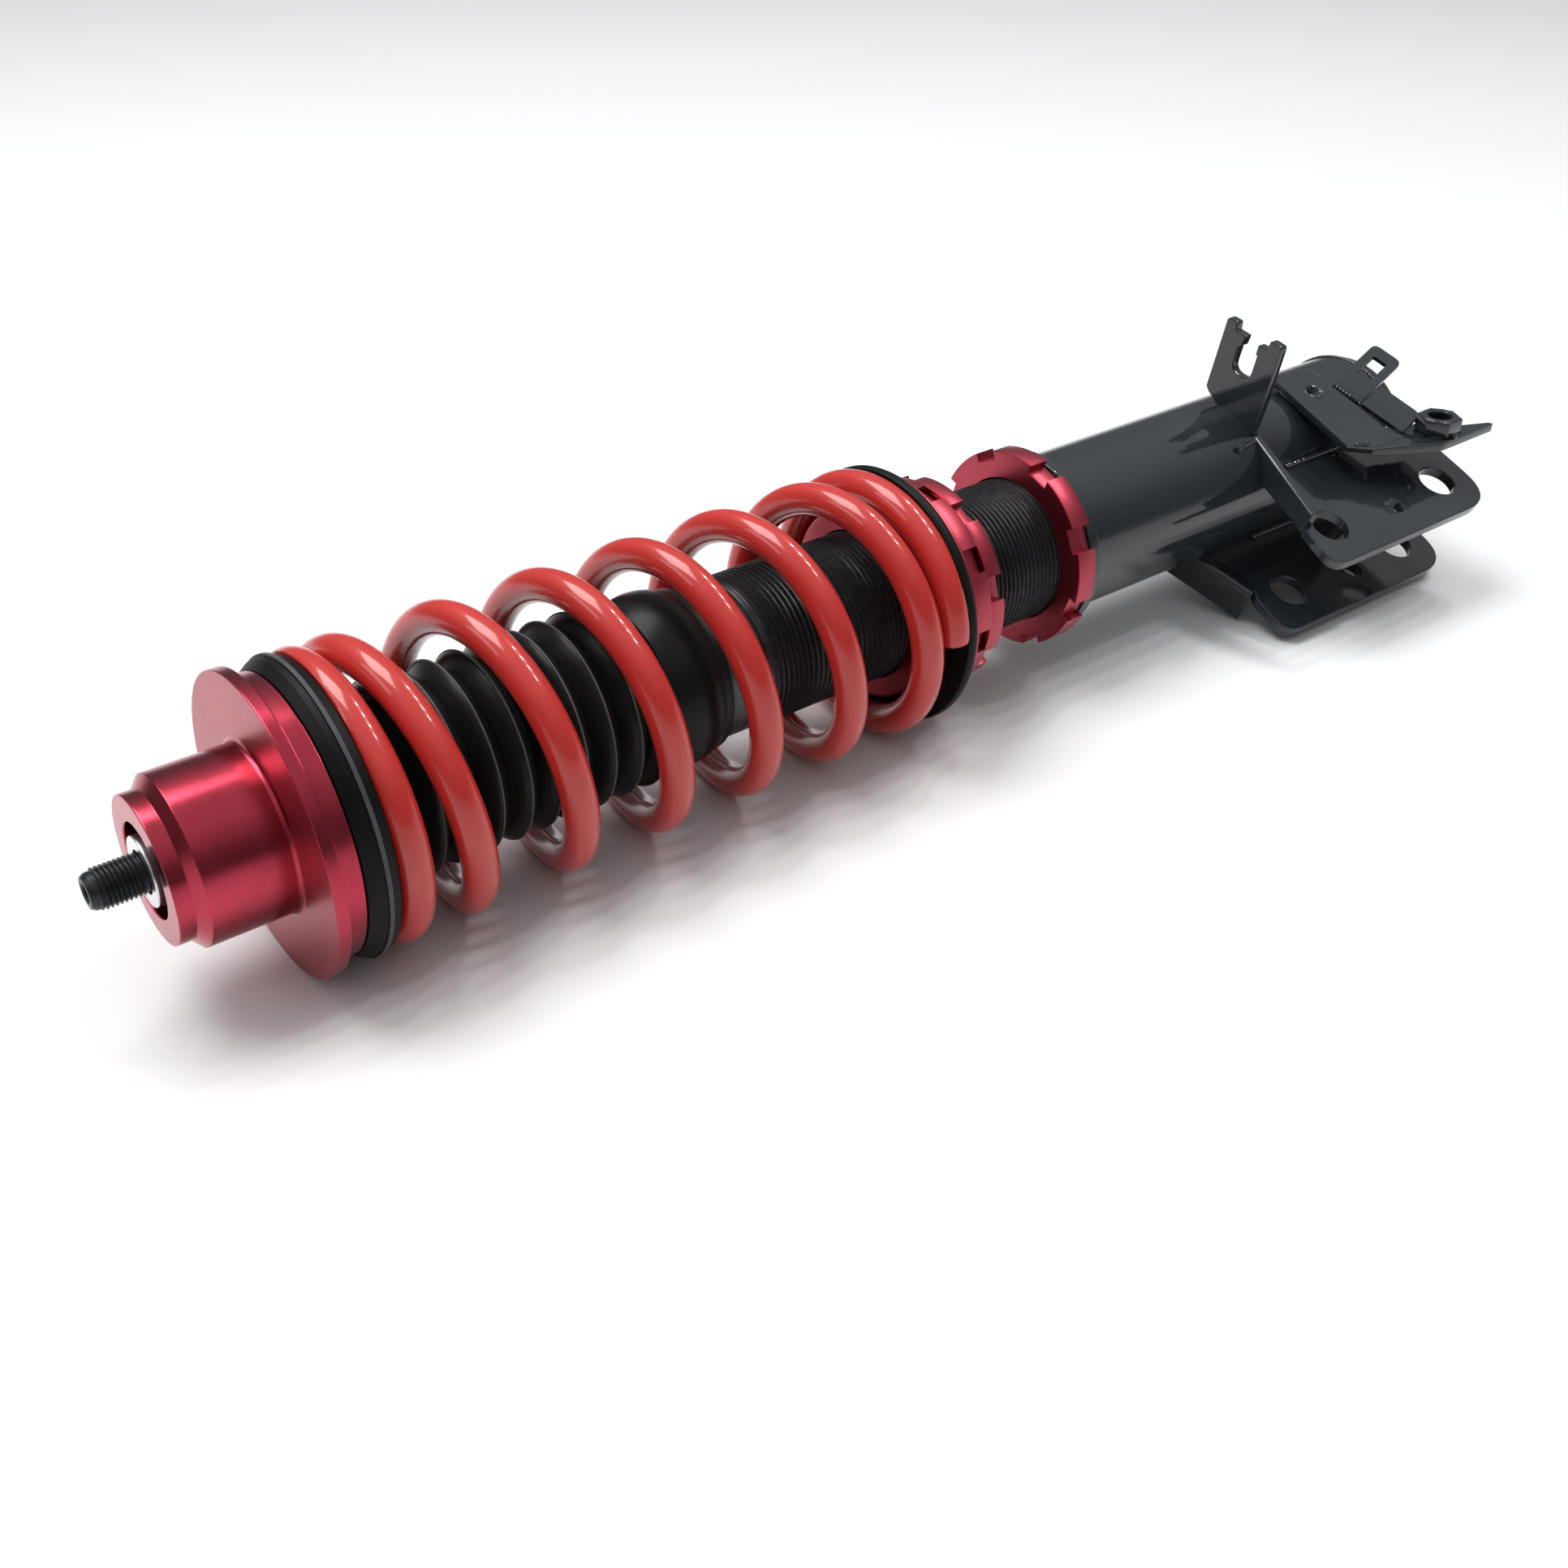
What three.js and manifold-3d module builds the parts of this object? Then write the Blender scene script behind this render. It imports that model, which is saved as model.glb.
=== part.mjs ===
// A coilover strut lying on its side: threaded damper, coil spring, top hat and knuckle bracket.
// Millimetres, +Z up. The strut axis runs along +X, from the rod stud to the knuckle bracket.
// Axial places are measured from the front face of the top hat's flange.
import * as THREE from 'three';
import { mergeVertices } from 'three/addons/utils/BufferGeometryUtils.js';
import Module from 'manifold-3d';

const wasm = await Module();
wasm.setup();

// ---- Driving dimensions ----
const gap = 0.3;             // clearance between neighbouring pieces
const axisHeight = 45.4;     // strut axis above the surface it lies on
const centreX = 217.75;      // middle of the whole strut, from the flange's front face
const centreY = -13.25;      // middle of the whole strut, from the strut axis
const bracketRoll = 21.5;    // degrees that the ears hang below level

const studTip = -49;
const studRadius = 6;
const rodRadius = 10;
const rodShoulder = -31;
const rodEnd = 196;
const washerRadius = 10.3;

const hatFront = -33;
const hatRimRadius = 21.7;
const hatBossRadius = 25.1;
const hatBoreRadius = 14;
const flangeRadius = 45.4;
const flangeThickness = 3.8;
const hatStepRadius = 42;
const isolatorFront = 10.3;
const springTop = 19.6;
const spigotRadius = 33.4;

const wireRadius = 5.35;
const coilRadius = 39.85;
const springBottom = 222.5;
const springStartTurn = -0.1;
const springTurns = 7.34;
const deadPitch = 11;
const springTopPhase = 91.5; // degrees from +Y at whole turns

const bootTop = 11;
const bootFirstFold = 30.8;
const foldPitch = 9.4;
const foldCount = 10;
const foldCrest = 29.6;
const foldValley = 24.6;
const bootWall = 1.6;
const cuffStart = 122;
const cuffEnd = 142;
const cuffRadius = 28.8;

const glandFront = 139;
const glandRadius = 24.8;
const threadStart = 157;
const threadRadius = 25.5;
const bodyBore = 22.4;
const bodyEnd = 392;
const innerTubeOuter = 17.5;
const innerTubeBore = 16;
const pistonFace = 176;
const pistonLength = 16;

const perchFlangeFront = 227.1;
const perchToothFront = 231.6;
const perchBack = 239.6;
const perchToothRadius = 37;
const lockRingFront = 240.4;
const lockRingBack = 246.6;
const lockRingRadius = 35.8;
const bodyLockFront = 282.3;
const bodyLockBack = 290.3;
const bodyLockRadius = 35.4;
const notchCount = 8;
const notchDepth = 3.2;
const notchWidth = 8.5;

const collarFront = 290.7;
const collarRadius = 33;
const tubeStart = 297.3;
const tubeRadius = 28.8;
const tubeBore = 26;
const tubeEnd = 466;
const domeEnd = 478;

const plate = 4;             // bracket sheet thickness
const earTop = 19;           // outer face of each ear from the strut's middle plane
const earReach = 69.8;       // ear edge from the strut axis
const boltHoleRadius = 7.3;
const boltHoleOut = 52.9;
const boltHoles = [392.7, 458.1];
const smallHole = { x: 427.8, out: 55.7, radius: 3.6 };

const finish = {
  anodised: { color: 0xb0182c, metalness: 0.9, roughness: 0.3 },
  powderCoat: { color: 0xd9281e, metalness: 0, roughness: 0.25 },
  blackPaint: { color: 0x0d0f10, metalness: 0.1, roughness: 0.2 },
  blackSteel: { color: 0x17181a, metalness: 0.7, roughness: 0.4 },
  rubber: { color: 0x101112, metalness: 0, roughness: 0.6 },
  chrome: { color: 0xd8dadd, metalness: 1, roughness: 0.1 },
  zinc: { color: 0xc6cacc, metalness: 1, roughness: 0.3 },
  bronze: { color: 0xa8743a, metalness: 1, roughness: 0.4 },
  bareSteel: { color: 0x8e9296, metalness: 1, roughness: 0.35 },
  foam: { color: 0xe2c25a, metalness: 0, roughness: 0.7 },
  plastic: { color: 0x22252b, metalness: 0, roughness: 0.5 },
};

const strut = new THREE.Group();
strut.position.set(-centreX, -centreY, axisHeight);
const bracket = new THREE.Group();
bracket.rotation.x = THREE.MathUtils.degToRad(bracketRoll);
strut.add(bracket);

// ---- Shape helpers ----
function onlyPositions(geometry) {
  const bare = geometry.index ? geometry.toNonIndexed() : geometry.clone();
  bare.deleteAttribute('normal');
  bare.deleteAttribute('uv');
  return bare;
}

// Merges shared corners, drops triangles without area and turns the faces outwards.
function closed(geometry) {
  const merged = mergeVertices(onlyPositions(geometry), 1e-4);
  const spot = (i) => new THREE.Vector3().fromBufferAttribute(merged.attributes.position, i);
  const faces = [];
  let volume = 0;
  for (let i = 0; i < merged.index.count; i += 3) {
    const [a, b, c] = [0, 1, 2].map((k) => merged.index.getX(i + k));
    if (a !== b && b !== c && c !== a) {
      faces.push([a, b, c]);
      volume += spot(a).dot(spot(b).cross(spot(c)));
    }
  }
  merged.setIndex(faces.flatMap(([a, b, c]) => (volume > 0 ? [a, b, c] : [a, c, b])));
  return merged;
}

function toManifold(geometry) {
  const solid = closed(geometry);
  const vertProperties = new Float32Array(solid.attributes.position.array);
  const triVerts = new Uint32Array(solid.index.array);
  return new wasm.Manifold(new wasm.Mesh({ numProp: 3, vertProperties, triVerts }));
}

function fromManifold(solid) {
  const mesh = solid.getMesh();
  const geometry = new THREE.BufferGeometry();
  geometry.setAttribute('position', new THREE.BufferAttribute(mesh.vertProperties, 3));
  geometry.setIndex(new THREE.BufferAttribute(mesh.triVerts, 1));
  return geometry;
}

function join(...pieces) {
  return fromManifold(pieces.map(toManifold).reduce((whole, piece) => whole.add(piece)));
}

function cut(piece, ...tools) {
  return fromManifold(tools.map(toManifold).reduce((rest, tool) => rest.subtract(tool), toManifold(piece)));
}

// Turns a closed outline of [x, radius] corners around the strut axis.
function turned(outline, segments = 36) {
  const points = [...outline, outline[0]].map(([x, radius]) => new THREE.Vector2(radius, x));
  return new THREE.LatheGeometry(points, segments).rotateZ(-Math.PI / 2);
}

function sleeve(x0, x1, bore, radius, segments = 36) {
  return turned([[x0, bore], [x0, radius], [x1, radius], [x1, bore]], segments);
}

function rod(x0, x1, radius, segments = 24) {
  return new THREE.CylinderGeometry(radius, radius, x1 - x0, segments)
    .rotateZ(-Math.PI / 2).translate((x0 + x1) / 2, 0, 0);
}

function box(x, y, z) {
  const size = [x, y, z].map(([low, high]) => high - low);
  const middle = [x, y, z].map(([low, high]) => (low + high) / 2);
  return new THREE.BoxGeometry(...size).translate(...middle);
}

// Extrudes an outline of [x, y] corners from z0 to z1.
function sheet(outline, z0, z1, curveSegments = 6) {
  const shape = outline instanceof THREE.Shape
    ? outline
    : new THREE.Shape(outline.map(([x, y]) => new THREE.Vector2(x, y)));
  return new THREE.ExtrudeGeometry(shape, { depth: z1 - z0, bevelEnabled: false, curveSegments })
    .translate(0, 0, z0);
}

// An outline whose corners [x, y, radius] are rounded.
function rounded(corners) {
  const shape = new THREE.Shape();
  corners.forEach(([x, y, radius], i) => {
    const here = new THREE.Vector2(x, y);
    const [before, after] = [corners.at(i - 1), corners[(i + 1) % corners.length]]
      .map(([px, py]) => new THREE.Vector2(px, py).sub(here).setLength(radius || 1e-3).add(here));
    if (i) shape.lineTo(before.x, before.y);
    else shape.moveTo(before.x, before.y);
    shape.quadraticCurveTo(x, y, after.x, after.y);
  });
  shape.closePath();
  return shape;
}

function drill(x, y, radius, z0, z1, segments = 24) {
  return new THREE.CylinderGeometry(radius, radius, z1 - z0, segments)
    .rotateX(Math.PI / 2).translate(x, y, (z0 + z1) / 2);
}

function add(name, geometry, look, group = strut) {
  const mesh = new THREE.Mesh(closed(geometry), new THREE.MeshStandardMaterial(finish[look]));
  mesh.name = name;
  group.add(mesh);
}

// ---- Piston rod and the pieces on it ----
function addRod() {
  const chamfer = 1.2;
  const neck = studRadius - 0.6;
  add('piston_rod', turned([
    [studTip + 4, 0], [studTip + 4, 2.6], [studTip, 3], [studTip, studRadius - chamfer],
    [studTip + chamfer, studRadius], [rodShoulder - 1.5, studRadius], [rodShoulder - 1.5, neck],
    [rodShoulder, neck], [rodShoulder, rodRadius - 0.6], [rodShoulder + 0.6, rodRadius],
    [pistonFace - 3, rodRadius], [pistonFace - 3, studRadius], [rodEnd, studRadius], [rodEnd, 0],
  ], 24), 'chrome');
  const washerSpan = [rodShoulder - 2.8, rodShoulder - gap];
  add('rod_washer', sleeve(...washerSpan, studRadius + gap, washerRadius, 24), 'zinc');

  const pistonRadius = innerTubeBore - gap;
  const pistonBack = pistonFace + pistonLength;
  const groove = [pistonFace + 4, pistonBack - 4];
  add('rebound_stop', sleeve(pistonFace - 11, pistonFace - 3 - gap, rodRadius + gap, 14, 24), 'rubber');
  add('rebound_shims', sleeve(pistonFace - 2.4, pistonFace - gap, studRadius + gap, 12.5, 24), 'bareSteel');
  add('piston', turned([
    [pistonFace, studRadius + gap], [pistonFace, pistonRadius - 0.4], [groove[0], pistonRadius - 0.4],
    [groove[0], pistonRadius - 1.6], [groove[1], pistonRadius - 1.6], [groove[1], pistonRadius - 0.4],
    [pistonBack, pistonRadius - 0.4], [pistonBack, studRadius + gap],
  ], 30), 'bareSteel');
  const bandSpan = [groove[0] + gap, groove[1] - gap];
  add('piston_band', sleeve(...bandSpan, pistonRadius - 1.3, pistonRadius, 30), 'bronze');
  const shimSpan = [pistonBack + gap, pistonBack + 2.4];
  add('compression_shims', sleeve(...shimSpan, studRadius + gap, 12.5, 24), 'bareSteel');
  const nutSpan = [pistonBack + 2.7, pistonBack + 10];
  add('piston_nut', cut(rod(...nutSpan, 9.5, 6), rod(pistonBack, rodEnd + 20, studRadius + gap)), 'zinc');
}

// ---- Top hat, isolator, bump stop and dust boot ----
function addUpperSeat() {
  const bossFront = -25.5;
  const recess = 30.2;
  add('top_hat', turned([
    [hatFront, hatBoreRadius], [hatFront, hatRimRadius - 0.5], [hatFront + 0.5, hatRimRadius],
    [hatFront + 4.6, hatRimRadius], [bossFront, hatBossRadius], [-2.5, hatBossRadius],
    [-0.8, hatBossRadius + 0.8], [0, hatBossRadius + 2.5], [0, flangeRadius - 0.4], [0.4, flangeRadius],
    [flangeThickness - 0.4, flangeRadius], [flangeThickness, flangeRadius - 0.4],
    [flangeThickness, hatStepRadius], [isolatorFront - gap, hatStepRadius],
    [isolatorFront - gap, spigotRadius], [springTop + 4, spigotRadius], [springTop + 6, recess + 1.2],
    [springTop + 6, recess], [bootTop - gap, recess], [bootTop - gap, hatBoreRadius],
  ], 36), 'anodised');
  add('seat_bush', sleeve(-22, 8, rodRadius + gap, hatBoreRadius - gap, 24), 'bronze');
  add('upper_isolator', turned([
    [isolatorFront, spigotRadius + gap], [isolatorFront, hatStepRadius], [13.4, 44.2], [15.2, 44.9],
    [16.8, 44.9], [springTop - gap, 43.6], [springTop - gap, spigotRadius + gap],
  ], 36), 'rubber');
  const stopBase = bootTop + 3;
  add('bump_stop', turned([
    [stopBase, rodRadius + 0.5], [stopBase, 18], [stopBase + 12, 18], [stopBase + 15, 15.5],
    [stopBase + 18, 18], [stopBase + 28, 17], [stopBase + 31, 14], [stopBase + 34, 15.5],
    [stopBase + 41, 12.5], [stopBase + 41, rodRadius + 0.5],
  ], 20), 'foam');
  add('boot_retainer', sleeve(bootTop, bootTop + 2.6, rodRadius + 2, 27, 24), 'plastic');
}

// The bellows: folds between the top collar and the cuff on the damper head, on a straight bore.
function addBoot() {
  const collar = foldCrest - 0.2;
  const foldsStart = bootFirstFold - foldPitch / 2;
  const outer = [[bootTop + 3, collar], [bootTop + 12, collar], [foldsStart, foldValley]];
  for (let i = 0; i < foldCount; i += 1) {
    const crest = bootFirstFold + i * foldPitch;
    outer.push([crest, foldCrest], [crest + foldPitch / 2, foldValley]);
  }
  outer.push([cuffStart + 5, cuffRadius], [cuffEnd - 5, cuffRadius], [cuffEnd, glandRadius + 1.6]);
  const bore = foldValley - bootWall;
  const inner = [[cuffEnd, glandRadius + gap], [glandFront, glandRadius + gap], [cuffStart + 4, bore]];
  add('dust_boot', turned([...outer, ...inner, [bootTop + 3, bore]], 28), 'rubber');
}

// ---- Coil spring: a right-hand helix with a closed dead coil and a ground face at each end ----
class SpringPath extends THREE.Curve {
  getPoint(t, target = new THREE.Vector3()) {
    const turn = springStartTurn + t * springTurns;
    const angle = THREE.MathUtils.degToRad(springTopPhase) + 2 * Math.PI * turn;
    const [y, z] = [coilRadius * Math.cos(angle), coilRadius * Math.sin(angle)];
    return target.set(this.axial(t * springTurns), y, z);
  }

  axial(turns) {
    const tip = wireRadius / 3;
    const span = springBottom - springTop - 2 * tip;
    const activePitch = (span - 2 * deadPitch) / (springTurns - 2);
    const active = Math.min(Math.max(turns - 1, 0), springTurns - 2);
    const dead = turns - active;
    return springTop + tip + active * activePitch + dead * deadPitch;
  }
}

function addSpring() {
  const section = new THREE.Shape();
  section.absarc(0, 0, wireRadius, 0, 2 * Math.PI);
  const wire = new THREE.ExtrudeGeometry(section, {
    steps: 118, curveSegments: 4, bevelEnabled: false, extrudePath: new SpringPath(),
  });
  const reach = 60;
  const grind = [[springTop - 20, springTop], [springBottom, springBottom + 20]]
    .map((x) => box(x, [-reach, reach], [-reach, reach]));
  add('coil_spring', cut(wire, ...grind), 'powderCoat');
}

// ---- Damper body and what it holds ----
function addDamper() {
  const headEnd = threadStart - gap;
  add('gland_nut', turned([
    [glandFront, rodRadius + 3], [glandFront, glandRadius - 1.5], [glandFront + 1.5, glandRadius],
    [headEnd - 1, glandRadius], [headEnd, glandRadius - 1], [headEnd, 19], [glandFront + 7, 19],
    [glandFront + 7, 16.3], [glandFront + 2.5, 16.3], [glandFront + 2.5, rodRadius + 3],
  ]), 'blackSteel');
  const sealBore = rodRadius + 0.2;
  add('wiper_seal', sleeve(glandFront + 0.4, glandFront + 2.2, sealBore, rodRadius + 2.7, 24), 'rubber');
  add('oil_seal', sleeve(glandFront + 2.8, glandFront + 6.7, sealBore, 16, 24), 'rubber');
  add('rod_guide', turned([
    [glandFront + 7.3, 12.5], [glandFront + 7.3, 18.7],
    [threadStart + 0.3, 18.7], [threadStart + 0.3, 22.1],
    [threadStart + 3, 22.1], [threadStart + 3, 20.6], [threadStart + 5.4, 20.6], [threadStart + 5.4, 22.1],
    [threadStart + 8, 22.1], [threadStart + 8, 12.5],
  ], 36), 'bareSteel');
  add('guide_bush', sleeve(glandFront + 8, threadStart + 7.5, sealBore, 12.2, 24), 'bronze');
  add('guide_o_ring', sleeve(threadStart + 3.3, threadStart + 5.1, 20.9, 22.1, 30), 'rubber');
  add('threaded_body', turned([
    [threadStart, bodyBore], [threadStart, threadRadius - 1], [threadStart + 1, threadRadius],
    [bodyEnd - 1.5, threadRadius], [bodyEnd, threadRadius - 1.5], [bodyEnd, 0], [bodyEnd - 6, 0],
    [bodyEnd - 6, bodyBore],
  ], 36), 'blackSteel');
  const innerTubeSpan = [threadStart + 8 + gap, bodyEnd - 16];
  add('inner_tube', sleeve(...innerTubeSpan, innerTubeBore, innerTubeOuter, 30), 'bareSteel');
  add('base_valve', turned([
    [bodyEnd - 15.7, 0], [bodyEnd - 15.7, innerTubeOuter + 2], [bodyEnd - 10, innerTubeOuter + 2],
    [bodyEnd - 6.4, innerTubeOuter - 2], [bodyEnd - 6.4, 0],
  ], 30), 'bareSteel');
}

// ---- Threaded rings ----
// Notches for a hook spanner, cut through the rim from x0 to x1.
function notched(ring, radius, x0, x1, firstAngle) {
  const tools = [];
  for (let i = 0; i < notchCount; i += 1) {
    const angle = THREE.MathUtils.degToRad(firstAngle + (i * 360) / notchCount);
    const halfWidth = notchWidth / 2;
    tools.push(box([x0, x1], [radius - notchDepth, radius + 8], [-halfWidth, halfWidth]).rotateX(angle));
  }
  return cut(ring, ...tools);
}

function addLockRing(name, radius, front, back, firstNotch) {
  const ring = sleeve(front, back, threadRadius + gap, radius, 40);
  add(name, notched(ring, radius, front - 1, back + 1, firstNotch), 'anodised');
}

function addRings() {
  const bore = threadRadius + gap;
  add('lower_isolator', turned([
    [springBottom + gap, spigotRadius - 0.2], [springBottom + gap, 44.6], [springBottom + 1.5, axisHeight],
    [springBottom + 2.6, axisHeight], [perchFlangeFront - gap, 44.2],
    [perchFlangeFront - gap, spigotRadius - 0.2],
  ], 36), 'rubber');
  const perch = turned([
    [springBottom - 10, bore], [springBottom - 10, spigotRadius - 2],
    [springBottom - 8, spigotRadius - 0.5], [perchFlangeFront, spigotRadius - 0.5],
    [perchFlangeFront, 42.5], [perchFlangeFront + 1.6, 42.5],
    [perchToothFront, perchToothRadius + 0.8], [perchToothFront + 0.8, perchToothRadius],
    [perchBack, perchToothRadius], [perchBack, bore],
  ], 36);
  const teeth = [perchToothRadius, perchToothFront + 0.8, perchBack + 1];
  add('spring_perch', notched(perch, ...teeth, 10), 'anodised');
  addLockRing('perch_lock_ring', lockRingRadius, lockRingFront, lockRingBack, 28);
  addLockRing('body_lock_ring', bodyLockRadius, bodyLockFront, bodyLockBack, 20);
}

// ---- Bracket tube ----
function addTube() {
  const bore = threadRadius + gap;
  add('thread_insert', turned([
    [collarFront, bore], [collarFront, collarRadius - 0.8], [collarFront + 0.8, collarRadius],
    [tubeStart - 2.6, collarRadius], [tubeStart - gap, tubeRadius + 1.2], [tubeStart - gap, bore],
  ], 36), 'blackSteel');
  add('bracket_tube', sleeve(tubeStart, tubeEnd, tubeBore, tubeRadius, 40), 'blackPaint');
  const dome = [];
  const steps = 5;
  for (let i = 0; i <= steps; i += 1) {
    const angle = (i / steps) * (Math.PI / 2);
    const depth = domeEnd - tubeEnd - gap;
    dome.push([tubeEnd + gap + depth * Math.sin(angle), tubeRadius - 9 * (1 - Math.cos(angle))]);
  }
  add('tube_end_cap', turned([...dome, [domeEnd, 0], [domeEnd - plate, 0], [domeEnd - plate, 17],
    [tubeEnd + gap, tubeRadius - plate]], 36), 'blackPaint');
}

// ---- Knuckle ears, in the bracket's rolled frame: y is minus the distance out, z is up ----
// A plate with an outward flange along its front edge, trimmed to the tube and drilled.
function ear(side, outline, flange, flangeTop) {
  const [z0, z1] = [earTop - plate, earTop].map((z) => z * side).sort((a, b) => a - b);
  const [f0, f1] = [earTop - plate, flangeTop].map((z) => z * side).sort((a, b) => a - b);
  const body = join(sheet(rounded(outline), z0, z1), sheet(flange, f0, f1));
  const holes = boltHoles.map((x) => drill(x, -boltHoleOut, boltHoleRadius, z0 - 5, z1 + 5));
  holes.push(drill(smallHole.x, -smallHole.out, smallHole.radius, z0 - 5, z1 + 5, 16));
  return cut(body, rod(tubeStart, domeEnd + 20, tubeRadius + gap, 40), ...holes);
}

function addEars() {
  const far = [[475.2, -earReach, 16], [475.2, -30, 3], [468, -16, 0]];
  const upper = [[389, -8, 0], [380.6, -48, 3], [377.2, -earReach, 16], ...far];
  const lower = [[374, -14, 0], [375, -50, 3], [373.6, -earReach, 16], ...far];
  const upperFlange = [[389.6, -7], [393.2, -7], [384.8, -49.5], [381.2, -49.5]];
  const lowerFlange = [[365.6, -16], [369.6, -15], [379, -48.5], [375.4, -48.5]];
  add('ear_upper', ear(1, upper, upperFlange, 26.4), 'blackPaint', bracket);
  add('ear_lower', ear(-1, lower, lowerFlange, 29), 'blackPaint', bracket);
}

// ---- Sensor bracket: a plate on the tube, a bent arm with a weld nut, and a cable tab ----
function addSensorBracket() {
  const seat = tubeRadius + gap;
  const top = seat + 3.4;
  const outline = rounded([[416, 9.5, 0], [416, -31.8, 2], [441, -32.3, 1], [437.6, 9.5, 7]]);
  add('sensor_plate', sheet(outline, seat, top), 'blackPaint', bracket);

  // The tab and the arm's upstand rise from the plate's far edge on one slope.
  const thin = 2;
  const onSlope = (geometry) => geometry
    .rotateY(THREE.MathUtils.degToRad(-20))
    .rotateZ(THREE.MathUtils.degToRad(11))
    .translate(440.6, -9.1, top - 0.3);
  const tabHalf = 6.6;
  const tabLength = 27.4;
  const tab = rounded([
    [0, tabHalf, 0], [0, -tabHalf, 0], [tabLength, -tabHalf, 2.5], [tabLength, tabHalf, 2.5],
  ]);
  const slot = [[11, 3.3], [11, -3.3], [22.6, -3.3], [22.6, 3.3]];
  add('cable_tab', onSlope(cut(sheet(tab, -thin, 0), sheet(slot, -thin - 3, 3))), 'blackPaint', bracket);

  const armTop = 16.4;
  const nutPlace = [459.5, -50.6];
  const nutCorner = 8.6;
  const arm = [
    [421, -42.8], [434.4, -50.4], [452.3, -59.4], [484.5, -59.4], [483.4, -57.2], [472.7, -52.4],
    [466, -41.5], [446, -38], [441.8, -43],
  ];
  const upstand = onSlope(sheet([[0.6, -7.2], [12.7, -7.2], [12.7, -27.3], [0.6, -27.3]], -thin, 0))
    .rotateX(THREE.MathUtils.degToRad(bracketRoll));
  const bolt = drill(...nutPlace, 4.9, 10, 30, 20);
  const nutRoom = drill(...nutPlace, nutCorner + 0.5, armTop, armTop + 20, 6);
  add('sensor_arm', cut(join(sheet(arm, armTop - 3.4, armTop), upstand), bolt, nutRoom), 'blackPaint');
  const nut = drill(...nutPlace, nutCorner, armTop + gap, armTop + 6.6, 6);
  add('sensor_nut', cut(nut, drill(...nutPlace, 4.2, 10, 30, 20)), 'blackPaint');
}

// ---- Brake hose fork: an upright plate with an open U slot and a tooth on each side of its mouth ----
function addFork() {
  const thickness = 3.5;
  const lean = THREE.MathUtils.degToRad(11);
  const profile = [
    [-12.2, 32.8], [-12, 59.8], [-11, 61.6], [-7.4, 61.6], [-6.7, 58.4], [-1.9, 58.4], [-2.3, 54.6],
    [-3.7, 53.4], [-3.7, 48.5], [-2.6, 45.6], [-0.6, 43.9], [1.8, 43.7], [3.8, 45.4], [5, 48.5],
    [5.1, 53.6], [4.3, 54.4], [4.3, 58], [8.3, 58.3], [8.6, 61], [9.6, 61.9], [13.2, 61.9], [14.2, 60.6],
    [14.5, 27], [-2, 26], [-10.5, 31.2],
  ];
  const fork = sheet(profile, 0, thickness).rotateX(Math.PI / 2).rotateZ(-Math.PI / 2)
    .rotateX(lean).translate(391.5, 0, 0);
  add('hose_fork', cut(fork, rod(380, 400, tubeRadius + gap, 40)), 'blackPaint');
}

addRod();
addUpperSeat();
addBoot();
addSpring();
addDamper();
addRings();
addTube();
addEars();
addSensorBracket();
addFork();

export default strut;
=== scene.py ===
# Looks for the coilover strut: turned red seats and rings, a powder-coated spring, a rubber
# boot, a cut thread and a glossy welded bracket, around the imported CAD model.
# Shapes are in millimetres in the strut's own frame: x along the axis from the front face of
# the top hat's flange, y and z from the axis. STRUT and BRACKET place them in the frame's metres.
import math

import bmesh
import bpy
from mathutils import Matrix, Vector


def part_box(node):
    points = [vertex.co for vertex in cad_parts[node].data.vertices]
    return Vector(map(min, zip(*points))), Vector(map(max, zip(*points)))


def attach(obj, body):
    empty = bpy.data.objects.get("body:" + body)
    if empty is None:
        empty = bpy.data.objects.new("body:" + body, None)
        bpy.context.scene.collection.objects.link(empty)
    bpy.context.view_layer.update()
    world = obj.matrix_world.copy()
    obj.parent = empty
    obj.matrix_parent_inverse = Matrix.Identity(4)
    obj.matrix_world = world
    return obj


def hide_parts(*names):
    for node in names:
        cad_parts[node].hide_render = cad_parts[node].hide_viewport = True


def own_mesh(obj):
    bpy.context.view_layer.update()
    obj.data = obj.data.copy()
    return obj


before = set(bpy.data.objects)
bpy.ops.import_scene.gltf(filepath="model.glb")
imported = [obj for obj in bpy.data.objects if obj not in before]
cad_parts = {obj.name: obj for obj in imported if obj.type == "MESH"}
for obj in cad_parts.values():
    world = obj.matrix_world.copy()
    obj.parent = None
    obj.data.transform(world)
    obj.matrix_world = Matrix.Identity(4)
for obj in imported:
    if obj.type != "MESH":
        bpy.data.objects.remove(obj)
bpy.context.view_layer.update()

# ---- Where the strut lies, from the frame ----
TUBE_START = 297.3  # station of the bracket tube's mouth, which ties stations to the frame
TUBE_END = 466
BRACKET_ROLL = 21.5
body_low, body_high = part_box("threaded_body")
axis_y = (body_low.y + body_high.y) / 2
axis_z = (body_low.z + body_high.z) / 2
station_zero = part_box("bracket_tube")[0].x - TUBE_START / 1000
STRUT = Matrix.Translation((station_zero, axis_y, axis_z)) @ Matrix.Scale(0.001, 4)
BRACKET = STRUT @ Matrix.Rotation(math.radians(BRACKET_ROLL), 4, "X")

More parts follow.
